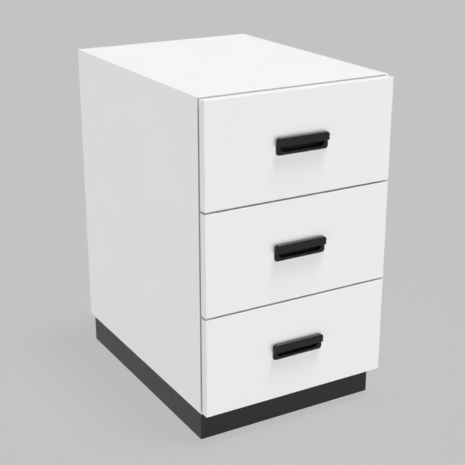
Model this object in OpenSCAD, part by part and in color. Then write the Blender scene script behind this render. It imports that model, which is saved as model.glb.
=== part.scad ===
// Drawer cabinet on a plinth: three drawers with recessed cup pulls, on full-extension ball slides.
// +Z is up and the drawer fronts face -Y. The origin is on the floor, under the middle of the
// whole cabinet, from the hoods of the pulls to the rear edges of the side panels.

/* [Carcass] */
// Width of the carcass
carcass_w = 450; // [400:5:600]
// Depth of the carcass, without the drawer fronts
carcass_d = 590; // [560:5:700]
// Height of the carcass above the plinth
carcass_h = 675; // [630:5:750]
// Thickness of the side, top and bottom panels
board_t = 19; // [16:0.5:22]
// Thickness of the back panel
back_t = 8; // [5:0.5:10]
// Distance from the rear edges of the carcass to the back panel
back_inset = 12; // [8:1:20]
// Depth of the grooves round the back panel
back_groove_d = 8; // [5:0.5:9]
// Radius on the outer edges of the carcass
carcass_edge_r = 0.8; // [0.4:0.1:1.5]

/* [Plinth] */
// Height of the plinth
plinth_h = 70; // [60:5:150]
// Thickness of the plinth boards
plinth_t = 16; // [12:0.5:19]
// Distance from the front edge of the carcass back to the plinth
plinth_front_inset = 14; // [5:0.5:80]
// Distance from each side of the carcass in to the plinth
plinth_side_inset = 7.5; // [0:0.5:30]
// Distance from the rear of the carcass in to the plinth
plinth_rear_inset = 7.5; // [0:0.5:40]
// Width and depth of the glue blocks in the plinth corners
glue_block_w = 45; // [42:1:60]
// Height of the glue blocks above the floor
glue_block_up = 12; // [10:0.5:16]

/* [Levelling feet] */
// Diameter of the foot pad
foot_pad_d = 32; // [24:1:38]
// Thickness of the foot pad
foot_pad_t = 5; // [4:0.5:6]
// Diameter of the foot stud
foot_stud_d = 10; // [8:0.5:11]
// Length of the foot stud above the pad
foot_stud_len = 42; // [30:1:46]

/* [Drawer fronts] */
// Thickness of the drawer fronts
front_t = 19; // [16:0.5:22]
// Gap between the carcass and the closed drawer fronts
front_standoff = 2.5; // [2:0.25:4]
// Distance from each side of the carcass in to the drawer fronts
side_reveal = 2; // [1:0.5:4]
// Distance from the top of the carcass down to the top drawer front
top_reveal = 3; // [1:0.5:6]
// Distance from the underside of the carcass up to the bottom drawer front
bottom_reveal = 1.5; // [0.5:0.5:6]
// Gap between two drawer fronts
front_gap = 4; // [2:0.5:5]
// Radius on the edges of the drawer fronts
front_edge_r = 1; // [0.5:0.25:2]
// Diameter of the bumpers behind the drawer fronts
bumper_d = 8; // [6:0.5:10]
// Distance from the edges of a drawer front to its upper and lower bumpers
bumper_inset = 16; // [10:1:25]

/* [Pull] */
// Width of the pull's flange and hood
pull_w = 123; // [120:1:150]
// Height of the pull's flange
pull_h = 37; // [34.5:0.5:46]
// Radius of the flange's corners
pull_corner_r = 7; // [7:0.5:10]
// Thickness of the flange
flange_t = 2; // [1.5:0.25:3]
// Radius on the front edge of the flange
flange_edge_r = 0.8; // [0.3:0.1:1.2]
// Distance that the hood stands out from the drawer front
hood_depth = 10; // [8:0.5:14]
// Wall of the hood
hood_wall = 2; // [1.5:0.25:2.5]
// Radius on the hood's front edge
hood_edge_r = 3; // [2.25:0.25:3.5]
// Height of the underside of the hood's lip above the middle of the pull
lip_rise = 1; // [0:0.5:4]
// Width of the finger pocket
pocket_w = 108; // [90:1:112]
// Height of the finger pocket
pocket_h = 25; // [20:0.5:27]
// Depth of the finger pocket behind the face of the drawer front
pocket_depth = 10; // [8:0.5:12]
// Wall of the finger pocket
pocket_wall = 1.8; // [1.2:0.1:2.2]
// Radius at the back edge of the finger pocket
pocket_fillet_r = 3; // [1:0.25:4]

/* [Drawer boxes] */
// Thickness of the box sides, front and back
box_t = 12; // [11:0.5:16]
// Distance from the bottom edge of a drawer front up to its box
box_rise = 28; // [24:1:36]
// Distance from the top edge of a drawer front down to its box
box_drop = 28.5; // [25:0.5:50]
// Length that the box reaches past the slides at the back
box_overrun = 4.5; // [2:0.5:20]
// Radius on the top edges of the box
box_edge_r = 2; // [0.5:0.25:4]
// Thickness of the box bottom
box_bottom_t = 6; // [4:0.5:8]
// Height of the box bottom above the lower edge of the box
box_bottom_rise = 10; // [7:0.5:12]
// Depth of the grooves round the box bottom
box_groove_d = 6; // [4:0.5:7]

/* [Ball slides] */
// Length of the slides, which is also the travel of the drawers
slide_len = 500; // [400:10:530]
// Thickness of a slide, from the side panel to the drawer box
slide_t = 12.7; // [12.5:0.1:14]
// Height of a slide
slide_h = 45.6; // [45:0.1:52]
// Thickness of the slide's steel
slide_steel = 1.2; // [1:0.05:1.25]
// Distance from the front edge of the carcass back to the slides
slide_setback = 3; // [1:0.5:6]
// Height of a slide's middle above the lower edge of the box
slide_rise = 45; // [40:1:50]
// Diameter of the balls
ball_d = 3; // [2.5:0.1:3.2]
// Number of balls in a row
balls_in_row = 8; // [4:1:12]
// Thickness of the ball cages
cage_t = 0.6; // [0.5:0.05:0.7]
// Distance from the ends of a slide to its first and last screws
slide_screw_inset = 37; // [25:1:60]

/* [Joints] */
// Diameter of the dowels
dowel_d = 8; // [6:0.5:10]
// Length of the dowels
dowel_len = 35; // [30:1:40]
// Depth of the dowels in the side panels
dowel_bite = 11; // [8:0.5:13]
// Diameter of the cam locks
cam_d = 15; // [12:0.5:18]
// Distance from the side panels to the middle of the cam locks
cam_reach = 34; // [24:1:40]
// Distance from the front edge of the carcass to the front cam locks
cam_from_front = 95; // [85:1:140]
// Distance from the rear edge of the carcass to the rear cam locks
cam_from_rear = 100; // [75:1:160]
// Distance from a cam lock to the dowels beside it
dowel_pitch = 32; // [22:1:40]
// Diameter of the cam bolts' threads
bolt_d = 5; // [4:0.5:6]
// Depth of the cam bolts in the side panels
bolt_bite = 11; // [8:0.5:13]
// Diameter of the box screws
box_screw_d = 4; // [3:0.25:4.5]
// Length of the box screws
box_screw_len = 25; // [20:1:28]
// Distance from the box sides to the screws that hold the drawer front
front_screw_inset = 70; // [50:1:80]
// Diameter of the slide screws
slide_screw_d = 3.5; // [3:0.25:4]
// Length of the screws in the side panels
panel_screw_len = 15; // [12:0.5:16]
// Length of the screws in the box sides
side_screw_len = 11; // [8:0.5:11.5]
// Diameter of the glue block screws
block_screw_d = 5; // [4:0.5:6]
// Depth of the glue block screws in the bottom panel
block_screw_bite = 12; // [8:0.5:14]

/* [Hidden] */
$fn = 64;
eps = 0.01;
drawer_count = 3;

// Clearances
fit = 0.05;          // round a screw, dowel or stud, on the radius
panel_play = 0.5;    // at each edge of a panel in its groove
groove_play = 0.1;   // at each face of a panel in its groove
bumper_play = 0.1;   // between the bumpers and the carcass
pocket_play = 0.3;   // round the pull in the drawer front
race_play = 0.4;     // between the members, cages and balls of a slide
stop_play = 2;       // between a ball cage and its stops, at each end of the travel

// Colours
white = [0.93, 0.93, 0.92];
board_white = [0.88, 0.88, 0.86];
plinth_grey = [0.2, 0.2, 0.2];
black = [0.07, 0.07, 0.07];
steel = [0.7, 0.71, 0.73];
beech = [0.8, 0.66, 0.46];

// Carcass planes
overall_d = hood_depth + front_t + front_standoff + carcass_d;
carcass_y0 = -overall_d / 2 + hood_depth + front_t + front_standoff;
carcass_y1 = carcass_y0 + carcass_d;
top_z = plinth_h + carcass_h;
inner_w = carcass_w - 2 * board_t;
inner_z0 = plinth_h + board_t;
inner_z1 = top_z - board_t;
back_y1 = carcass_y1 - back_inset;
back_y0 = back_y1 - back_t;

// Plinth planes
plinth_x = carcass_w / 2 - plinth_side_inset;
plinth_y0 = carcass_y0 + plinth_front_inset;
plinth_y1 = carcass_y1 - plinth_rear_inset;
foot_hex_h = 4;
foot_hex_r = 8;
nut_flange_t = 1.5;
nut_flange_r = 9.5;
nut_barrel_len = 9;
nut_wall = 1.5;
block_screw_spread = 15;
block_screw_len = plinth_h - glue_block_up + block_screw_bite;
block_head_d = 2 * block_screw_d;

// Drawer fronts
front_w = carcass_w - 2 * side_reveal;
front_h = (carcass_h - top_reveal - bottom_reveal - (drawer_count - 1) * front_gap) / drawer_count;
front_y1 = carcass_y0 - front_standoff;
front_y0 = front_y1 - front_t;
bumper_x = (carcass_w - board_t) / 2;
bumper_t = front_standoff - bumper_play;
slide_y0 = carcass_y0 + slide_setback;
slide_y1 = slide_y0 + slide_len;
function front_z0(n) = plinth_h + bottom_reveal + (drawer_count - n) * (front_h + front_gap);
function pull_z(n) = front_z0(n) + front_h / 2;

// Pull
bead_r = hood_wall / 2;
bead_z = lip_rise + bead_r;
pocket_floor_play = 0.5;
rib_w = 1.2;
rib_count = 5;
rib_pitch = (pocket_w - pocket_h - 2 * rib_w) / (rib_count - 1);
rib_len = pocket_depth - 2;

// Drawer boxes
box_w = inner_w - 2 * slide_t;
box_h = front_h - box_rise - box_drop;
box_y0 = front_y1;
box_y1 = slide_y1 + box_overrun;
box_inner_x = box_w / 2 - box_t;
box_head_d = 2 * box_screw_d;
front_screw_x = box_inner_x - front_screw_inset;
front_screw_margin = 26;
joint_screw_margin = 16;
function box_z0(n) = front_z0(n) + box_rise;

// Slides. In a slide's cross-section u runs from the side panel to the box and v is up.
function slide_z(n) = box_z0(n) + slide_rise;
race_w = ball_d + 2 * race_play;
ball_side = 1;
lip_t = slide_steel;
outer_cage_u = slide_steel + race_play;
middle_u = outer_cage_u + cage_t + race_play;
inner_cage_u = middle_u + slide_steel + race_play;
drawer_member_u = inner_cage_u + cage_t + race_play;
outer_ball_u = outer_cage_u + cage_t + ball_side + ball_d / 2;
inner_ball_u = inner_cage_u + cage_t + ball_side + ball_d / 2;
outer_lip_u = outer_ball_u + ball_d / 2 + ball_side + race_play;
inner_lip_u = inner_ball_u + ball_d / 2 + 0.5;
cabinet_race_v = slide_h / 2 - slide_steel;
middle_outer_v = cabinet_race_v - race_w;
middle_race_v = middle_outer_v - slide_steel;
drawer_member_v = middle_race_v - race_w;
outer_ball_v = cabinet_race_v - race_w / 2;
inner_ball_v = middle_race_v - race_w / 2;
stop_len = 3;
cage_len = slide_len / 2 - 2 * (stop_len + stop_play);
cage_margin = 1.5 * ball_d;
ball_pitch = (cage_len - 2 * cage_margin) / (balls_in_row - 1);
slide_head_d = 2 * slide_screw_d;
slide_head_h = 1.6;

// Cam joints
cam_h = board_t / 2 + 3.3;
cam_head_r = 3.2;
cam_neck_r = 2;
cam_shank_r = 3;
cam_mouth_r = 3.8;
cam_driver_d = 7;
joint_y = [carcass_y0 + cam_from_front, carcass_y1 - cam_from_rear];

// ---------- Helpers ----------

// Box between two corners given as ranges
module block(x, y, z) {
    translate([x[0], y[0], z[0]]) cube([x[1] - x[0], y[1] - y[0], z[1] - z[0]]);
}

// Rectangle between two corners given as ranges
module rect(x, y) {
    translate([x[0], y[0]]) square([x[1] - x[0], y[1] - y[0]]);
}

// Extrusions of a drawing along each axis. The drawing's own axes are (x, z), (y, z) and (x, y).
module along_y(y0, y1) {
    translate([0, y1, 0]) rotate([90, 0, 0]) linear_extrude(y1 - y0) children();
}

module along_x(x0, x1) {
    translate([x0, 0, 0]) rotate([90, 0, 90]) linear_extrude(x1 - x0) children();
}

module along_z(z0, z1) {
    translate([0, 0, z0]) linear_extrude(z1 - z0) children();
}

// Copies on the right and on the left
module both_sides() {
    children();
    mirror([1, 0, 0]) children();
}

// A part of the right half, put on the right (side = 1) or on the left (side = -1)
module on_side(side) {
    mirror([side < 0 ? 1 : 0, 0, 0]) children();
}

module rounded_rect(w, h, r) {
    square([w - 2 * r, h], center = true);
    square([w, h - 2 * r], center = true);
    for (x = [-1, 1], y = [-1, 1])
        translate([x * (w / 2 - r), y * (h / 2 - r)]) circle(r);
}

module stadium(w, h) {
    square([w - h, h], center = true);
    for (x = [-1, 1]) translate([x * (w - h) / 2, 0]) circle(h / 2);
}

// Panel with all its edges rounded, from its lowest corner
module soft_panel(w, t, h, r) {
    translate([w / 2, t / 2, h / 2]) intersection() {
        along_y(-t, t) rounded_rect(w, h, r);
        along_x(-w, w) rounded_rect(t, h, r);
        along_z(-h, h) rounded_rect(w, t, r);
    }
}

// Plate that stands out from the plane y = 0 towards -Y, with round corners and a round front edge
module soft_plate(w, h, corner_r, t, edge_r) {
    ring_y = -(t - edge_r);
    along_y(ring_y, 0) rounded_rect(w, h, corner_r);
    along_y(-t, 0) rounded_rect(w - 2 * edge_r, h - 2 * edge_r, corner_r - edge_r);
    for (s = [-1, 1]) {
        translate([0, ring_y, s * (h / 2 - edge_r)])
            rotate([0, 90, 0]) cylinder(h = w - 2 * corner_r, r = edge_r, center = true);
        translate([s * (w / 2 - edge_r), ring_y, 0])
            cylinder(h = h - 2 * corner_r, r = edge_r, center = true);
    }
    for (x = [-1, 1], z = [-1, 1])
        translate([x * (w / 2 - corner_r), ring_y, z * (h / 2 - corner_r)]) rotate([90, 0, 0])
            rotate_extrude() translate([corner_r - edge_r, 0]) circle(edge_r);
}

// Cross recess in a screw head at z = 0, along +Z
module cross_recess(size, depth) {
    for (a = [0, 90]) rotate([0, 0, a]) translate([-size / 2, -size / 8, -eps]) cube([size, size / 4, depth]);
}

// Countersunk screw along +Z with the face of its head at z = 0
module countersunk_screw(d, head_d, len) {
    head_h = (head_d - d) / 2;
    difference() {
        union() {
            cylinder(h = head_h, r1 = head_d / 2, r2 = d / 2);
            cylinder(h = len - d, r = d / 2);
            translate([0, 0, len - d]) cylinder(h = d, r1 = d / 2, r2 = d / 8);
        }
        cross_recess(0.5 * head_d, 0.7 * head_h);
    }
}

// Hole for that screw
module countersunk_hole(d, head_d, len) {
    head_h = (head_d - d) / 2;
    translate([0, 0, -head_d]) cylinder(h = head_d, r = head_d / 2 + fit);
    cylinder(h = head_h, r1 = head_d / 2 + fit, r2 = d / 2 + fit);
    cylinder(h = len + fit, r = d / 2 + fit);
}

// Pan-head screw along +Z with the underside of its head at z = 0
module pan_screw(d, head_d, head_h, len) {
    difference() {
        union() {
            translate([0, 0, -head_h]) cylinder(h = head_h, r = head_d / 2);
            cylinder(h = len - d, r = d / 2);
            translate([0, 0, len - d]) cylinder(h = d, r1 = d / 2, r2 = d / 8);
        }
        translate([0, 0, -head_h]) cross_recess(0.6 * head_d, 0.6 * head_h);
    }
}

// ---------- Carcass ----------

// Places of the cam joints on the right: each at the middle of a board's end, on the side panel's face
module at_cam_joints() {
    for (z = [plinth_h, inner_z1], y = joint_y)
        translate([inner_w / 2, y, z + board_t / 2]) children();
}

// Places of the dowels beside the cam joints
module at_dowels() {
    at_cam_joints() for (s = [-1, 1]) translate([0, s * dowel_pitch, 0]) children();
}

// Rod along X from x0 to x1, with its axis through the origin
module rod(x0, x1, r) {
    translate([x0, 0, 0]) rotate([0, 90, 0]) cylinder(h = x1 - x0, r = r);
}

// Places of the screws of a slide on the right, on the side panel's face
module at_slide_screws(n) {
    for (share = [0, 0.5, 1])
        translate([
            inner_w / 2,
            slide_y0 + slide_screw_inset + share * (slide_len - 2 * slide_screw_inset),
            slide_z(n)
        ]) children();
}

// Puts a screw that runs along +Z so that it runs along +X
module towards_panel() {
    rotate([0, 90, 0]) children();
}

// Puts a screw that runs along +Z so that it runs along -X
module towards_box() {
    rotate([0, -90, 0]) children();
}

// Outer shape of the carcass
module carcass_envelope() {
    translate([-carcass_w / 2, carcass_y0, plinth_h])
        soft_panel(carcass_w, carcass_d, carcass_h, carcass_edge_r);
}

module side_panel() {
    color(white) difference() {
        intersection() {
            carcass_envelope();
            block([inner_w / 2, carcass_w], [carcass_y0, carcass_y1], [plinth_h, top_z]);
        }
        block([inner_w / 2 - eps, inner_w / 2 + back_groove_d],
              [back_y0 - groove_play, back_y1 + groove_play],
              [inner_z0 - back_groove_d, inner_z1 + back_groove_d]);
        at_cam_joints() rod(-eps, bolt_bite + fit, bolt_d / 2 + fit);
        at_dowels() rod(-eps, dowel_bite + panel_play, dowel_d / 2 + fit);
        for (n = [1 : drawer_count])
            at_slide_screws(n) translate([-slide_steel, 0, 0])
                towards_panel() countersunk_hole(slide_screw_d, slide_head_d, panel_screw_len);
    }
}

// Top or bottom panel with its underside at z0, and its groove for the back in the face at groove_z
module cross_panel(z0, groove_z) {
    color(white) difference() {
        intersection() {
            carcass_envelope();
            block([-inner_w / 2, inner_w / 2], [carcass_y0, carcass_y1], [z0, z0 + board_t]);
        }
        block([-inner_w, inner_w], [back_y0 - groove_play, back_y1 + groove_play],
              [groove_z - back_groove_d, groove_z + back_groove_d]);
        both_sides() {
            at_cam_joints() {
                rod(-cam_reach, eps, cam_mouth_r);
                translate([-cam_reach, 0, -board_t / 2 - eps]) cylinder(h = cam_h + panel_play, r = cam_d / 2 + fit);
            }
            at_dowels() rod(dowel_bite - dowel_len - panel_play, eps, dowel_d / 2 + fit);
        }
        both_sides() at_block_screws()
            translate([0, 0, block_screw_len - block_screw_bite - eps])
                cylinder(h = block_screw_bite + fit + eps, r = block_screw_d / 2 + fit);
    }
}

module top_panel() {
    cross_panel(inner_z1, inner_z1);
}

module bottom_panel() {
    cross_panel(plinth_h, inner_z0);
}

module back_panel() {
    reach = back_groove_d - panel_play;
    color(white) block([-inner_w / 2 - reach, inner_w / 2 + reach], [back_y0, back_y1],
                       [inner_z0 - reach, inner_z1 + reach]);
}

module panel_dowels() {
    chamfer = dowel_d / 8;
    color(beech) both_sides() at_dowels() {
        rod(dowel_bite - dowel_len + chamfer, dowel_bite - chamfer, dowel_d / 2);
        translate([dowel_bite - chamfer, 0, 0]) rotate([0, 90, 0])
            cylinder(h = chamfer, r1 = dowel_d / 2, r2 = dowel_d / 2 - chamfer);
        translate([dowel_bite - dowel_len, 0, 0]) rotate([0, 90, 0])
            cylinder(h = chamfer, r1 = dowel_d / 2 - chamfer, r2 = dowel_d / 2);
    }
}

module cam_locks() {
    color(steel) both_sides() at_cam_joints() translate([-cam_reach, 0, 0]) difference() {
        translate([0, 0, -board_t / 2]) cylinder(h = cam_h, r = cam_d / 2);
        sphere(r = cam_head_r + 0.8);
        rod(0, cam_d, cam_neck_r + 1);
        translate([0, 0, -board_t / 2]) cross_recess(cam_driver_d, 2.5);
    }
}

module cam_bolts() {
    color(steel) both_sides() at_cam_joints() {
        rod(0, bolt_bite, bolt_d / 2);
        rod(-cam_reach + cam_d / 2 + 1, 0, cam_shank_r);
        rod(-cam_reach, -cam_reach + cam_d / 2 + 1, cam_neck_r);
        translate([-cam_reach, 0, 0]) sphere(r = cam_head_r);
    }
}

// ---------- Plinth ----------

module plinth_cross_board(y0) {
    color(plinth_grey) block([-plinth_x, plinth_x], [y0, y0 + plinth_t], [0, plinth_h]);
}

module plinth_front() {
    plinth_cross_board(plinth_y0);
}

module plinth_rear() {
    plinth_cross_board(plinth_y1 - plinth_t);
}

module plinth_side() {
    color(plinth_grey) block([plinth_x - plinth_t, plinth_x], [plinth_y0 + plinth_t, plinth_y1 - plinth_t],
                             [0, plinth_h]);
}

// Places of the plinth's inner corners on the right, at the middle of the glue blocks
module at_glue_blocks() {
    inset = plinth_t + glue_block_w / 2;
    translate([plinth_x - inset, plinth_y1 - inset, 0]) children();
    translate([plinth_x - inset, plinth_y0 + inset, 0]) mirror([0, 1, 0]) children();
}

module at_block_screws() {
    at_glue_blocks() for (s = [-1, 1])
        translate([s * block_screw_spread, s * block_screw_spread, glue_block_up]) children();
}

module plinth_glue_blocks() {
    color(beech) both_sides() difference() {
        at_glue_blocks() block([-glue_block_w / 2, glue_block_w / 2], [-glue_block_w / 2, glue_block_w / 2],
                               [glue_block_up, plinth_h]);
        at_glue_blocks() {
            cylinder(h = foot_pad_t + foot_stud_len + panel_play, r = foot_stud_d / 2 + 2 * fit);
            cylinder(h = glue_block_up + nut_barrel_len + fit, r = foot_stud_d / 2 + nut_wall + 2 * fit);
        }
        at_block_screws() countersunk_hole(block_screw_d, block_head_d, block_screw_len);
    }
}

module glue_block_screws() {
    color(steel) both_sides() at_block_screws() countersunk_screw(block_screw_d, block_head_d, block_screw_len);
}

module levelling_feet() {
    color(black) both_sides() at_glue_blocks() {
        cylinder(h = foot_pad_t - 1, r = foot_pad_d / 2);
        translate([0, 0, foot_pad_t - 1]) cylinder(h = 1, r1 = foot_pad_d / 2, r2 = foot_pad_d / 2 - 1);
        cylinder(h = foot_pad_t + foot_hex_h, r = foot_hex_r, $fn = 6);
        cylinder(h = foot_pad_t + foot_stud_len, r = foot_stud_d / 2);
    }
}

module levelling_nuts() {
    color(steel) both_sides() at_glue_blocks() difference() {
        union() {
            translate([0, 0, glue_block_up - nut_flange_t]) cylinder(h = nut_flange_t, r = nut_flange_r);
            translate([0, 0, glue_block_up - eps])
                cylinder(h = nut_barrel_len + eps, r = foot_stud_d / 2 + nut_wall);
        }
        cylinder(h = plinth_h, r = foot_stud_d / 2 + fit);
    }
}

// ---------- Slides ----------

// Puts a cross-section drawn in (u, v) in place on the right, and runs it from y0 to y1
module slide_run(n, y0, y1) {
    translate([inner_w / 2, 0, slide_z(n)]) mirror([1, 0, 0]) along_y(y0, y1) children();
}

// The same shape above and below the slide's middle
module above_and_below() {
    children();
    mirror([0, 1]) children();
}

// Web and two flanges of a member. Its web is at u = web_u and its flanges end at v = reach_v.
module channel(web_u, flange_u, reach_v) {
    rect([web_u, web_u + slide_steel], [-reach_v, reach_v]);
    above_and_below() rect(flange_u, [reach_v - slide_steel, reach_v]);
}

// Lip at the end of a flange, turned towards the slide's middle
module flange_lip(u, v) {
    above_and_below() rect([u, u + slide_steel], [v - lip_t, v + slide_steel / 2]);
}

// Stop in a ball race, between v0 and v1
module race_stop(u, v0, v1) {
    above_and_below() rect([u - ball_d / 2, u + ball_d / 2], [v0, v1]);
}

module slide_cabinet_members() {
    color(steel) both_sides() for (n = [1 : drawer_count]) difference() {
        union() {
            slide_run(n, slide_y0, slide_y1) {
                channel(0, [0, outer_lip_u + slide_steel], slide_h / 2);
                flange_lip(outer_lip_u, cabinet_race_v);
            }
            slide_run(n, slide_y0, slide_y0 + stop_len)
                race_stop(outer_ball_u, middle_outer_v + race_play, cabinet_race_v + eps);
        }
        at_slide_screws(n) translate([-slide_steel, 0, 0])
            towards_panel() countersunk_hole(slide_screw_d, slide_head_d, panel_screw_len);
    }
}

module side_panel_screws() {
    color(steel) both_sides() for (n = [1 : drawer_count])
        at_slide_screws(n) translate([-slide_steel, 0, 0])
            towards_panel() countersunk_screw(slide_screw_d, slide_head_d, panel_screw_len);
}

module slide_middle_members(n) {
    color(steel) both_sides() {
        slide_run(n, slide_y0, slide_y1) {
            channel(middle_u, [middle_u, inner_lip_u + slide_steel], middle_outer_v);
            flange_lip(inner_lip_u, middle_race_v);
        }
        slide_run(n, slide_y1 - stop_len, slide_y1)
            race_stop(outer_ball_u, middle_outer_v - eps, cabinet_race_v - race_play);
        slide_run(n, slide_y0, slide_y0 + stop_len)
            race_stop(inner_ball_u, drawer_member_v + race_play, middle_race_v + eps);
    }
}

module slide_drawer_members(n) {
    web_u = slide_t - slide_steel;
    color(steel) both_sides() difference() {
        union() {
            slide_run(n, slide_y0, slide_y1)
                channel(web_u, [drawer_member_u, slide_t], drawer_member_v);
            slide_run(n, slide_y1 - stop_len, slide_y1)
                race_stop(inner_ball_u, drawer_member_v - eps, middle_race_v - race_play);
        }
        at_slide_screws(n) translate([-slide_t - eps, 0, 0])
            towards_panel() cylinder(h = slide_steel + 2 * eps, r = slide_screw_d / 2 + fit);
    }
}

module slide_screws(n) {
    color(steel) both_sides() at_slide_screws(n) translate([slide_steel - slide_t, 0, 0])
        towards_box() pan_screw(slide_screw_d, slide_head_d, slide_head_h, side_screw_len);
}

// Ball cage with its two rows of balls: the cage's web is at u = web_u
module ball_cage(n, web_u, ball_u, ball_v) {
    mid_y = (slide_y0 + slide_y1) / 2;
    cage_end_u = ball_u + ball_d / 2 + ball_side;
    difference() {
        slide_run(n, mid_y - cage_len / 2, mid_y + cage_len / 2) {
            rect([web_u, web_u + cage_t], [-ball_v - cage_t / 2, ball_v + cage_t / 2]);
            above_and_below() rect([web_u, cage_end_u], [ball_v - cage_t / 2, ball_v + cage_t / 2]);
        }
        at_balls(n, mid_y, ball_u, ball_v) cylinder(h = ball_d, r = ball_d / 2 + fit, center = true);
    }
    at_balls(n, mid_y, ball_u, ball_v) sphere(r = ball_d / 2);
}

module at_balls(n, mid_y, ball_u, ball_v) {
    for (i = [0 : balls_in_row - 1], s = [-1, 1])
        translate([
            inner_w / 2 - ball_u,
            mid_y + (i - (balls_in_row - 1) / 2) * ball_pitch,
            slide_z(n) + s * ball_v
        ]) children();
}

module outer_ball_cages(n) {
    color(steel) both_sides() ball_cage(n, outer_cage_u, outer_ball_u, outer_ball_v);
}

module inner_ball_cages(n) {
    color(steel) both_sides() ball_cage(n, inner_cage_u, inner_ball_u, inner_ball_v);
}

// ---------- Drawers ----------

module drawer_front(n) {
    depth = pocket_depth + pocket_wall + pocket_floor_play;
    grow = 2 * (pocket_wall + pocket_play);
    color(white) difference() {
        translate([-front_w / 2, front_y0, front_z0(n)]) soft_panel(front_w, front_t, front_h, front_edge_r);
        translate([0, 0, pull_z(n)]) along_y(front_y0 - eps, front_y0 + depth)
            stadium(pocket_w + grow, pocket_h + grow);
        at_front_screws(n) box_screw_hole();
    }
}

// Hood of the pull, smaller by inset all round, and cut off level at the height low_z
module hood_solid(inset, low_z) {
    intersection() {
        soft_plate(pull_w - 2 * inset, pull_h - 2 * inset, pull_corner_r - inset,
                   hood_depth - inset, hood_edge_r - inset);
        block([-pull_w, pull_w], [-2 * hood_depth, 0], [low_z, pull_h]);
    }
}

// Finger pocket with a round back edge, from y = -flange_t to pocket_depth
module pocket_hollow() {
    mid_y = pocket_depth - pull_h / 2;
    intersection() {
        along_y(-flange_t - eps, pocket_depth) stadium(pocket_w, pocket_h);
        translate([0, mid_y, 0]) along_x(-pocket_w, pocket_w) rounded_rect(pull_h, pocket_h, pocket_fillet_r);
        translate([0, mid_y, 0]) along_z(-pocket_h, pocket_h) rounded_rect(pocket_w, pull_h, pocket_fillet_r);
    }
}

// Lower half of a round bead's cross-section, in the plane of the drawing
module half_bead() {
    intersection() {
        circle(bead_r);
        rect([-bead_r, bead_r], [-bead_r, 0]);
    }
}

// Round lip along the lower edge of the hood's front and ends
module lip_bead() {
    corner_x = pull_w / 2 - hood_edge_r;
    corner_y = hood_edge_r - hood_depth;
    translate([0, 0, bead_z]) {
        along_x(-corner_x, corner_x) translate([bead_r - hood_depth, 0]) half_bead();
        both_sides() {
            along_y(corner_y, -flange_t / 2) translate([pull_w / 2 - bead_r, 0]) half_bead();
            translate([corner_x, corner_y, 0]) intersection() {
                rotate_extrude() translate([hood_edge_r - bead_r, 0]) half_bead();
                block([0, hood_edge_r], [-hood_edge_r, 0], [-bead_r, 0]);
            }
        }
    }
}

module pull(n) {
    color(black) translate([0, front_y0, pull_z(n)]) {
        difference() {
            union() {
                soft_plate(pull_w, pull_h, pull_corner_r, flange_t, flange_edge_r);
                along_y(0, pocket_depth + pocket_wall)
                    stadium(pocket_w + 2 * pocket_wall, pocket_h + 2 * pocket_wall);
            }
            pocket_hollow();
        }
        difference() {
            hood_solid(0, bead_z);
            difference() {
                hood_solid(hood_wall, 0);
                block([-pull_w, pull_w], [-flange_t / 2, 1], [-pull_h, pull_h]);
            }
            pocket_hollow();
        }
        lip_bead();
        pocket_ribs();
    }
}

// Ribs that centre the finger pocket in the drawer front
module pocket_ribs() {
    outer = pocket_h / 2 + pocket_wall;
    for (i = [0 : rib_count - 1], s = [-1, 1])
        translate([(i - (rib_count - 1) / 2) * rib_pitch, 0, 0])
            block([-rib_w / 2, rib_w / 2], [0, rib_len],
                  s > 0 ? [outer - eps, outer + pocket_play] : [-outer - pocket_play, -outer + eps]);
}

module front_bumpers(n) {
    color([0.85, 0.85, 0.85]) both_sides() for (z = [bumper_inset, front_h - bumper_inset])
        translate([bumper_x, front_y1, front_z0(n) + z]) rotate([-90, 0, 0])
            cylinder(h = bumper_t, r = bumper_d / 2);
}

// Board of a box as seen from its end, with round upper edges
module box_board_profile(t0, n) {
    z0 = box_z0(n);
    z1 = z0 + box_h;
    rect([t0, t0 + box_t], [z0, z1 - box_edge_r]);
    rect([t0 + box_edge_r, t0 + box_t - box_edge_r], [z0, z1]);
    for (t = [t0 + box_edge_r, t0 + box_t - box_edge_r]) translate([t, z1 - box_edge_r]) circle(box_edge_r);
}

// Space of the box bottom with its grooves
module box_bottom_space(n, reach, play) {
    z0 = box_z0(n) + box_bottom_rise;
    block([-box_inner_x - reach, box_inner_x + reach],
          [box_y0 + box_t - reach, box_y1 - box_t + reach],
          [z0 - play, z0 + box_bottom_t + play]);
}

// Places of the screws through the right box side into the box front and back
module at_corner_screws(n) {
    low = slide_rise + slide_h / 2 + joint_screw_margin;
    high = box_h - joint_screw_margin;
    for (y = [box_y0 + box_t / 2, box_y1 - box_t / 2], z = [low, (low + high) / 2, high])
        translate([box_w / 2, y, box_z0(n) + z]) towards_box() children();
}

// Places of the screws through the box front into the drawer front
module at_front_screws(n) {
    for (x = [-front_screw_x, front_screw_x], z = [box_bottom_rise + front_screw_margin, box_h - front_screw_margin])
        translate([x, box_y0 + box_t, box_z0(n) + z]) rotate([90, 0, 0]) children();
}

module box_screw() {
    countersunk_screw(box_screw_d, box_head_d, box_screw_len);
}

module box_screw_hole() {
    countersunk_hole(box_screw_d, box_head_d, box_screw_len);
}

module box_side(n) {
    color(board_white) difference() {
        along_y(box_y0, box_y1) box_board_profile(box_inner_x, n);
        box_bottom_space(n, box_groove_d, groove_play);
        at_corner_screws(n) box_screw_hole();
        at_slide_screws(n) translate([eps - slide_t, 0, 0])
            towards_box() cylinder(h = side_screw_len - slide_steel + 2 * fit, r = slide_screw_d / 2 + fit);
    }
}

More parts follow.
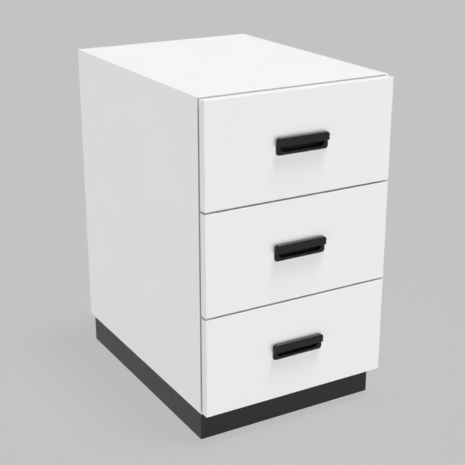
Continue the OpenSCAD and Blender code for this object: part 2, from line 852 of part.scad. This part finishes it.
// Box front or back, from y0
module box_cross_board(n, y0) {
    color(board_white) difference() {
        along_x(-box_inner_x, box_inner_x) box_board_profile(y0, n);
        box_bottom_space(n, box_groove_d, groove_play);
        both_sides() at_corner_screws(n) box_screw_hole();
        at_front_screws(n) box_screw_hole();
    }
}

module box_front(n) {
    box_cross_board(n, box_y0);
}

module box_back(n) {
    box_cross_board(n, box_y1 - box_t);
}

module box_bottom(n) {
    color(board_white) box_bottom_space(n, box_groove_d - panel_play, 0);
}

module box_screws(n) {
    color(steel) {
        both_sides() at_corner_screws(n) box_screw();
        at_front_screws(n) box_screw();
    }
}

// ---------- Nodes ----------

on_side(-1) side_panel();  // side_panel_left
on_side(1) side_panel();  // side_panel_right
top_panel();
bottom_panel();
back_panel();
panel_dowels();
cam_locks();
cam_bolts();
plinth_front();
plinth_rear();
on_side(-1) plinth_side();  // plinth_left
on_side(1) plinth_side();  // plinth_right
plinth_glue_blocks();
glue_block_screws();
levelling_feet();
levelling_nuts();
slide_cabinet_members();
side_panel_screws();
for (n = [1 : drawer_count]) {
    drawer_front(n);
    pull(n);
    front_bumpers(n);
    box_front(n);
    on_side(-1) box_side(n);
    on_side(1) box_side(n);
    box_back(n);
    box_bottom(n);
    box_screws(n);
    slide_drawer_members(n);
    slide_screws(n);
    slide_middle_members(n);
    outer_ball_cages(n);
    inner_ball_cages(n);
}
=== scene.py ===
"""Looks of the drawer cabinet: the finish of every board, pull and slide, the floor, light and camera.

All places are in metres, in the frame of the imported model: +Z up, the drawer fronts facing -Y.
"""

import math

import bpy
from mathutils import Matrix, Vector


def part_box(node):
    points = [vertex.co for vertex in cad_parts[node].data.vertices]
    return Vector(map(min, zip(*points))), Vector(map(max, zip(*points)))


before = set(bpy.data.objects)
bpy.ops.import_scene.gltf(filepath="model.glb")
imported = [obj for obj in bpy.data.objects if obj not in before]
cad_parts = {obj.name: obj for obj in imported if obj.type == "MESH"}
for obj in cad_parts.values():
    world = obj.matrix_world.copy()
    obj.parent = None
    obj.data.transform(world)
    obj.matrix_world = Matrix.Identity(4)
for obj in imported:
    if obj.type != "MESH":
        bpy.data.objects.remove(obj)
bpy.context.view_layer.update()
scene = bpy.context.scene

MM = 0.001
DRAWERS = (1, 2, 3)
X_AXIS, Y_AXIS, Z_AXIS = 0, 1, 2

# ---------------------------------------------------------------- view and light

CAMERA_PLACE = Vector((-1.1261, -1.97275, 1.1734))
CAMERA_YAW = 30.0  # degrees, turned from +Y towards +X
CAMERA_PITCH = 20.0  # degrees below the horizon
CAMERA_LENS = 80.47  # mm
CAMERA_SENSOR = 36.0  # mm wide
CAMERA_REACH = 100.0  # the farthest distance it shows

BACKDROP_GREY = 0.546  # linear
FLOOR_GREY = 0.45
FLOOR_MOTTLE = 0.002  # share by which the floor's grey varies
FLOOR_GLOW = 0.9  # share of the floor's colour that shadows don't reach
FLOOR_SIZE = 400.0

# The key lamp: the direction it comes from, how brightly it lights a surface that faces it,
# and how many degrees across it is, for soft shadows.
KEY_FROM = Vector((0.18, -0.15, 0.972))
KEY_STRENGTH = 1.08
KEY_ANGLE = 14.0

# Even light from above and from below, and wide soft lamps a little below the horizon:
# the direction each lies in from the cabinet, and its strength. The floor lets this light through.
SKY_LIGHT = 0.08
GROUND_LIGHT = 0.15
HORIZON_BLUR = 0.05
LAMP_SPREAD = 10.0  # the higher, the narrower the lamps
LAMPS = (
    (Vector((0.6, -0.74, -0.3)), 5.35),
    (Vector((-0.95, 0.1, -0.3)), 4.25),
    (Vector((0.2, 0.93, -0.3)), 4.0),
)

# ---------------------------------------------------------------- finger pocket and hood of a pull

# How far behind the front of the hood the matt pocket starts, and where it is fully matt. The pocket is also
# painted lighter there: painted light in the shade under the hood.
POCKET_STARTS = 9.5 * MM
POCKET_FULL = 11.5 * MM

# How far up a surface faces, from 0 to 1, where the rubbed top of the hood starts, and where it is full.
TOP_STARTS = 0.85
TOP_FULL = 0.97

# ---------------------------------------------------------------- node helpers

NOISE_LOW, NOISE_HIGH = 0.3, 0.7  # the range that most of a noise lies in


class Tree:
    """The node tree of a material or a world, with short calls to add nodes and join them."""

    def __init__(self, owner):
        owner.use_nodes = True
        self.nodes = owner.node_tree.nodes
        self.links = owner.node_tree.links
        self.nodes.clear()

    def join(self, source, target):
        self.links.new(source, target)

    def feed(self, socket, value):
        """Gives a socket a plain value, or joins it to another node's output."""
        if isinstance(value, bpy.types.NodeSocket):
            self.join(value, socket)
        elif value is not None:
            socket.default_value = value

    def place(self):
        """Position on the part at rest, in metres."""
        return self.nodes.new("ShaderNodeTexCoord").outputs["Object"]

    def math(self, operation, a, b=None, clamp=False):
        made = self.nodes.new("ShaderNodeMath")
        made.operation = operation
        made.use_clamp = clamp
        self.feed(made.inputs[0], a)
        self.feed(made.inputs[1], b)
        return made.outputs[0]

    def vector(self, operation, a, b=None):
        made = self.nodes.new("ShaderNodeVectorMath")
        made.operation = operation
        self.feed(made.inputs[0], a)
        self.feed(made.inputs[1], b)
        return made.outputs[0]

    def dot(self, a, b):
        made = self.nodes.new("ShaderNodeVectorMath")
        made.operation = "DOT_PRODUCT"
        self.feed(made.inputs[0], a)
        self.feed(made.inputs[1], b)
        return made.outputs["Value"]

    def split(self, vector):
        made = self.nodes.new("ShaderNodeSeparateXYZ")
        self.feed(made.inputs[0], vector)
        return made.outputs[0], made.outputs[1], made.outputs[2]

    def noise(self, scale, detail=2.0, roughness=0.5, stretch=(1, 1, 1)):
        """Noise with about scale features per metre, stretched along the axes."""
        mapping = self.nodes.new("ShaderNodeMapping")
        mapping.inputs["Scale"].default_value = stretch
        self.join(self.place(), mapping.inputs["Vector"])
        made = self.nodes.new("ShaderNodeTexNoise")
        made.inputs["Scale"].default_value = scale
        made.inputs["Detail"].default_value = detail
        made.inputs["Roughness"].default_value = roughness
        self.join(mapping.outputs[0], made.inputs["Vector"])
        return made.outputs["Fac"]

    def span(self, value, low, high, to_low, to_high):
        """Maps a range of values onto another, and stops at its ends."""
        made = self.nodes.new("ShaderNodeMapRange")
        self.feed(made.inputs["Value"], value)
        made.inputs["From Min"].default_value = low
        made.inputs["From Max"].default_value = high
        made.inputs["To Min"].default_value = to_low
        made.inputs["To Max"].default_value = to_high
        return made.outputs[0]

    def vary(self, noise, to_low, to_high):
        """Maps a noise from its usual range onto another."""
        return self.span(noise, NOISE_LOW, NOISE_HIGH, to_low, to_high)

    def blend(self, share, a, b):
        """Colour a where share is 0, and b where it is 1."""
        made = self.nodes.new("ShaderNodeMix")
        made.data_type = "RGBA"
        self.feed(made.inputs["Factor"], share)
        self.feed(made.inputs["A"], a)
        self.feed(made.inputs["B"], b)
        return made.outputs["Result"]

    def seen_rays(self):
        """1 for a ray from the camera, or off or through a shiny surface, and 0 for one that only lights."""
        path = self.nodes.new("ShaderNodeLightPath")
        mirrored = self.math("MAXIMUM", path.outputs["Is Glossy Ray"], path.outputs["Is Transmission Ray"])
        return self.math("MAXIMUM", path.outputs["Is Camera Ray"], mirrored)

    def mix_shaders(self, share, a, b):
        """Shader a where share is 0, and b where it is 1."""
        made = self.nodes.new("ShaderNodeMixShader")
        self.feed(made.inputs[0], share)
        self.join(a, made.inputs[1])
        self.join(b, made.inputs[2])
        return made.outputs[0]

    def light(self, kind, strength):
        """White light of this strength, from an Emission or a Background node."""
        made = self.nodes.new(kind)
        made.inputs["Color"].default_value = grey(1.0)
        self.feed(made.inputs["Strength"], strength)
        return made.outputs[0]


class Finish(Tree):
    """A new material around one Principled shader."""

    def __init__(self, name):
        self.material = bpy.data.materials.new(name)
        super().__init__(self.material)
        self.output = self.nodes.new("ShaderNodeOutputMaterial")
        self.shader = self.nodes.new("ShaderNodeBsdfPrincipled")
        self.join(self.shader.outputs["BSDF"], self.output.inputs["Surface"])

    def bump(self, height, distance, strength=1.0):
        made = self.nodes.new("ShaderNodeBump")
        made.inputs["Strength"].default_value = strength
        made.inputs["Distance"].default_value = distance
        self.feed(made.inputs["Height"], height)
        self.join(made.outputs[0], self.shader.inputs["Normal"])

    def set(self, **values):
        """Sets the shader's sockets by their names, with spaces written as underscores."""
        for name, value in values.items():
            self.feed(self.shader.inputs[name.replace("_", " ")], value)


def grey(level):
    return (level, level, level, 1.0)


def tint(colour, factor):
    return tuple(c * factor for c in colour[:3]) + (1.0,)


def finish_nodes(material, *names):
    """Puts a material on CAD nodes."""
    for name in names:
        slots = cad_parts[name].data.materials
        slots.clear()
        slots.append(material)


# ---------------------------------------------------------------- materials


def board_distance(tree, node, thickness_axis):
    """Distance from the nearest edge of a board, measured across its face."""
    low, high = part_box(node)
    place = tree.place()
    from_low = tree.vector("SUBTRACT", place, tuple(low))
    to_high = tree.vector("SUBTRACT", tuple(high), place)
    nearest = tree.vector("MINIMUM", from_low, to_high)
    across = [part for axis, part in enumerate(tree.split(nearest)) if axis != thickness_axis]
    return tree.math("MINIMUM", across[0], across[1])


def melamine(name, node, thickness_axis, colour, band=1.0 * MM):
    """White melamine with a fine pearl grain, and an edge band that ends in a hairline on the faces."""
    tree = Finish(name)
    distance = board_distance(tree, node, thickness_axis)
    hairline = 0.12 * MM
    off_line = tree.math("ABSOLUTE", tree.math("SUBTRACT", distance, band))
    line = tree.span(off_line, 0.0, hairline, 1.0, 0.0)
    on_band = tree.span(distance, band - hairline, band, 1.0, 0.0)
    cloud = tree.noise(5.0, detail=3.0)
    speck = tree.noise(900.0, detail=2.0)
    shade = tree.blend(tree.vary(cloud, 0.0, 1.0), tint(colour, 0.992), tint(colour, 1.004))
    shade = tree.blend(tree.span(speck, 0.62, 0.8, 0.0, 0.5), shade, tint(colour, 0.975))
    shade = tree.blend(tree.math("MULTIPLY", on_band, 0.6), shade, tint(colour, 0.985))
    shade = tree.blend(tree.math("MULTIPLY", line, 0.45), shade, tint(colour, 0.72))
    smudge = tree.noise(14.0, detail=4.0, roughness=0.6)
    tree.set(
        Base_Color=shade,
        Roughness=tree.vary(smudge, 0.4, 0.48),
        Specular_IOR_Level=0.4,
    )
    grain = tree.noise(1400.0, detail=3.0, roughness=0.6)
    pearl = tree.noise(260.0, detail=2.0)
    height = tree.math("ADD", tree.math("MULTIPLY", grain, 0.4), tree.math("MULTIPLY", pearl, 0.6))
    height = tree.math("SUBTRACT", height, tree.math("MULTIPLY", line, 1.5))
    tree.bump(height, 0.02 * MM, 0.6)
    return tree.material


def laminate(name, colour):
    """Dark plinth laminate: matt, with a faint leathery grain."""
    tree = Finish(name)
    cloud = tree.noise(9.0, detail=4.0)
    speck = tree.noise(1100.0, detail=2.0)
    shade = tree.blend(tree.vary(cloud, 0.0, 1.0), tint(colour, 0.94), tint(colour, 1.05))
    shade = tree.blend(tree.span(speck, 0.6, 0.8, 0.0, 0.5), shade, tint(colour, 1.3))
    tree.set(
        Base_Color=shade,
        Roughness=tree.vary(tree.noise(40.0, detail=3.0), 0.3, 0.4),
        Specular_IOR_Level=0.42,
    )
    tree.bump(tree.noise(1500.0, detail=3.0, roughness=0.6), 0.03 * MM, 0.5)
    return tree.material


def pull_masks(tree, pull):
    """Two masks: 1 inside the finger pocket of a pull, and 1 on the flat top of its hood."""
    depth = tree.math("SUBTRACT", tree.split(tree.place())[Y_AXIS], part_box(pull)[0][Y_AXIS])
    pocket = tree.span(depth, POCKET_STARTS, POCKET_FULL, 0.0, 1.0)
    normal = tree.nodes.new("ShaderNodeNewGeometry").outputs["Normal"]
    facing_up = tree.span(tree.split(normal)[Z_AXIS], TOP_STARTS, TOP_FULL, 0.0, 1.0)
    hood_top = tree.math("SUBTRACT", facing_up, pocket, clamp=True)
    return pocket, hood_top


def moulded_plastic(name, colour, roughness, grain, pull=None):
    """Black moulded plastic with a fine spark-eroded texture.

    A pull is rubbed shiny on the flat top of its hood. Inside the finger pocket it is matt, and its colour
    is painted three times lighter: painted light in the shade under the hood.
    """
    tree = Finish(name)
    cloud = tree.noise(30.0, detail=3.0)
    speck = tree.noise(2200.0, detail=2.0)
    shade = tree.blend(tree.vary(cloud, 0.0, 1.0), tint(colour, 0.9), tint(colour, 1.12))
    rough = tree.vary(speck, roughness - 0.05, roughness + 0.07)
    if pull:
        pocket, hood_top = pull_masks(tree, pull)
        # Painted light: the pocket's colour is three times lighter, to stand in for light in the shade under
        # the hood.
        shade = tree.blend(pocket, shade, tint(colour, 3.0))
        rough = tree.math("MAXIMUM", rough, tree.math("MULTIPLY", pocket, 0.85))
        tree.set(Coat_Weight=hood_top, Coat_Roughness=0.15, Coat_IOR=1.8)
    tree.set(Base_Color=shade, Roughness=rough, Specular_IOR_Level=0.4)
    tree.bump(tree.noise(1900.0, detail=3.0, roughness=0.65), grain, 0.7)
    return tree.material


def plated_steel(name, colour, roughness, stretch):
    """Bright zinc on rolled steel: streaks along the rolling direction and faint clouds."""
    tree = Finish(name)
    streak = tree.noise(260.0, detail=4.0, roughness=0.6, stretch=stretch)
    cloud = tree.noise(18.0, detail=3.0)
    shade = tree.blend(tree.vary(streak, 0.0, 1.0), tint(colour, 0.88), tint(colour, 1.06))
    shade = tree.blend(tree.span(cloud, 0.35, 0.7, 0.0, 0.5), shade, tint(colour, 0.93))
    tree.set(
        Base_Color=shade,
        Metallic=1.0,
        Roughness=tree.vary(cloud, roughness - 0.04, roughness + 0.06),
    )
    tree.bump(streak, 0.012 * MM, 0.5)
    return tree.material


def beech(name):
    """Plain beech: fine rings along the height of the piece and short dark flecks."""
    tree = Finish(name)
    light, dark, fleck = (0.62, 0.43, 0.26, 1), (0.47, 0.3, 0.16, 1), (0.3, 0.17, 0.08, 1)
    ring = tree.noise(120.0, detail=4.0, roughness=0.6, stretch=(1, 1, 0.06))
    flecks = tree.noise(900.0, detail=2.0, stretch=(1, 1, 0.12))
    shade = tree.blend(tree.span(ring, 0.35, 0.65, 0.0, 1.0), light, dark)
    shade = tree.blend(tree.span(flecks, 0.64, 0.76, 0.0, 0.7), shade, fleck)
    tree.set(Base_Color=shade, Roughness=0.6)
    tree.bump(ring, 0.05 * MM, 0.6)
    return tree.material


def silicone(name):
    """Clear soft bumper."""
    tree = Finish(name)
    cloud = tree.noise(300.0, detail=2.0)
    tree.set(
        Base_Color=tree.blend(cloud, grey(0.82), grey(0.9)),
        Roughness=tree.vary(cloud, 0.25, 0.4),
        Transmission_Weight=0.5,
    )
    return tree.material


WHITE = (0.82, 0.82, 0.82)
BOX_WHITE = (0.8, 0.8, 0.79)
PLINTH = (0.009, 0.009, 0.009)
PULL_BLACK = (0.003, 0.003, 0.003)
FOOT_BLACK = (0.011, 0.011, 0.011)
ZINC = (0.62, 0.63, 0.65)

# The axis that each board's thickness lies along.
BOARD_AXES = {
    "side_panel_left": X_AXIS,
    "side_panel_right": X_AXIS,
    "top_panel": Z_AXIS,
    "bottom_panel": Z_AXIS,
    "back_panel": Y_AXIS,
}
BOX_BOARD_AXES = {
    "box_front": Y_AXIS,
    "box_back": Y_AXIS,
    "box_side_left": X_AXIS,
    "box_side_right": X_AXIS,
    "box_bottom": Z_AXIS,
}
for board, axis in BOARD_AXES.items():
    finish_nodes(melamine(f"melamine_{board}", board, axis, WHITE), board)
for n in DRAWERS:
    board = f"drawer_front_{n}"
    finish_nodes(melamine(f"melamine_{board}", board, Y_AXIS, WHITE), board)
    for kind, axis in BOX_BOARD_AXES.items():
        board = f"{kind}_{n}"
        finish_nodes(melamine(f"melamine_{board}", board, axis, BOX_WHITE, 0.5 * MM), board)

plinth_boards = [f"plinth_{side}" for side in ("front", "rear", "left", "right")]
finish_nodes(laminate("plinth_laminate", PLINTH), *plinth_boards)
for n in DRAWERS:
    pull = f"pull_{n}"
    finish_nodes(moulded_plastic(f"plastic_{pull}", PULL_BLACK, 0.25, 0.006 * MM, pull), pull)
finish_nodes(moulded_plastic("foot_plastic", FOOT_BLACK, 0.5, 0.03 * MM), "levelling_feet")
finish_nodes(beech("beech"), "plinth_glue_blocks", "panel_dowels")
finish_nodes(silicone("silicone"), *[f"front_bumpers_{n}" for n in DRAWERS])

slide_steel = plated_steel("slide_steel", ZINC, 0.28, (1, 0.04, 1))
cage_steel = plated_steel("cage_steel", tint(ZINC, 0.9), 0.34, (1, 0.1, 1))
screw_steel = plated_steel("screw_steel", tint(ZINC, 0.95), 0.3, (1, 1, 1))
finish_nodes(slide_steel, "slide_cabinet_members")
finish_nodes(screw_steel, "side_panel_screws", "glue_block_screws")
finish_nodes(screw_steel, "levelling_nuts", "cam_bolts", "cam_locks")
for n in DRAWERS:
    finish_nodes(slide_steel, f"slide_drawer_members_{n}", f"slide_middle_members_{n}")
    finish_nodes(cage_steel, f"outer_ball_cages_{n}", f"inner_ball_cages_{n}")
    finish_nodes(screw_steel, f"box_screws_{n}", f"slide_screws_{n}")

# ---------------------------------------------------------------- floor, light and camera


def make_floor():
    """A plain grey floor, which keeps a faint shadow and lets the light from below the horizon through."""
    half = FLOOR_SIZE / 2
    mesh = bpy.data.meshes.new("floor")
    corners = [(-half, -half, 0), (half, -half, 0), (half, half, 0), (-half, half, 0)]
    mesh.from_pydata(corners, [], [(0, 1, 2, 3)])
    floor = bpy.data.objects.new("floor", mesh)
    scene.collection.objects.link(floor)
    tree = Finish("floor_paint")
    darker, lighter = grey(FLOOR_GREY * (1 - FLOOR_MOTTLE)), grey(FLOOR_GREY * (1 + FLOOR_MOTTLE))
    paint = tree.blend(tree.noise(0.8), darker, lighter)
    tree.set(Base_Color=paint, Roughness=0.9, Specular_IOR_Level=0.0)
    glow = tree.light("ShaderNodeEmission", BACKDROP_GREY)
    surface = tree.mix_shaders(FLOOR_GLOW, tree.shader.outputs[0], glow)
    clear = tree.nodes.new("ShaderNodeBsdfTransparent").outputs[0]
    tree.join(tree.mix_shaders(tree.seen_rays(), clear, surface), tree.output.inputs["Surface"])
    mesh.materials.append(tree.material)


def make_world():
    """Soft light from all round, which looks like the grey backdrop wherever it is seen or mirrored."""
    scene.world = bpy.data.worlds.new("studio")
    tree = Tree(scene.world)
    direction = tree.nodes.new("ShaderNodeTexCoord").outputs["Generated"]
    height = tree.split(direction)[Z_AXIS]
    total = tree.span(height, -HORIZON_BLUR, HORIZON_BLUR, GROUND_LIGHT, SKY_LIGHT)
    for toward, strength in LAMPS:
        facing = tree.math("MAXIMUM", tree.dot(direction, toward), 0.0)
        lamp = tree.math("MULTIPLY", tree.math("POWER", facing, LAMP_SPREAD), strength)
        total = tree.math("ADD", total, lamp)
    light = tree.light("ShaderNodeBackground", total)
    backdrop = tree.light("ShaderNodeBackground", BACKDROP_GREY)
    output = tree.nodes.new("ShaderNodeOutputWorld")
    tree.join(tree.mix_shaders(tree.seen_rays(), light, backdrop), output.inputs["Surface"])


def make_key():
    """One wide lamp from nearly overhead, for the shadows under the pulls."""
    lamp = bpy.data.lights.new("key", "SUN")
    lamp.energy = KEY_STRENGTH * math.pi
    lamp.angle = math.radians(KEY_ANGLE)
    key = bpy.data.objects.new("key", lamp)
    key.rotation_euler = KEY_FROM.to_track_quat("Z", "Y").to_euler()
    scene.collection.objects.link(key)


def make_camera():
    """The camera stands at the front left and looks down on the cabinet."""
    data = bpy.data.cameras.new("camera")
    data.lens = CAMERA_LENS
    data.sensor_width = CAMERA_SENSOR
    data.clip_end = CAMERA_REACH
    camera = bpy.data.objects.new("camera", data)
    camera.location = CAMERA_PLACE
    camera.rotation_euler = (math.radians(90 - CAMERA_PITCH), 0, -math.radians(CAMERA_YAW))
    scene.collection.objects.link(camera)
    scene.camera = camera


make_floor()
make_world()
make_key()
make_camera()
scene.view_settings.view_transform = "Standard"
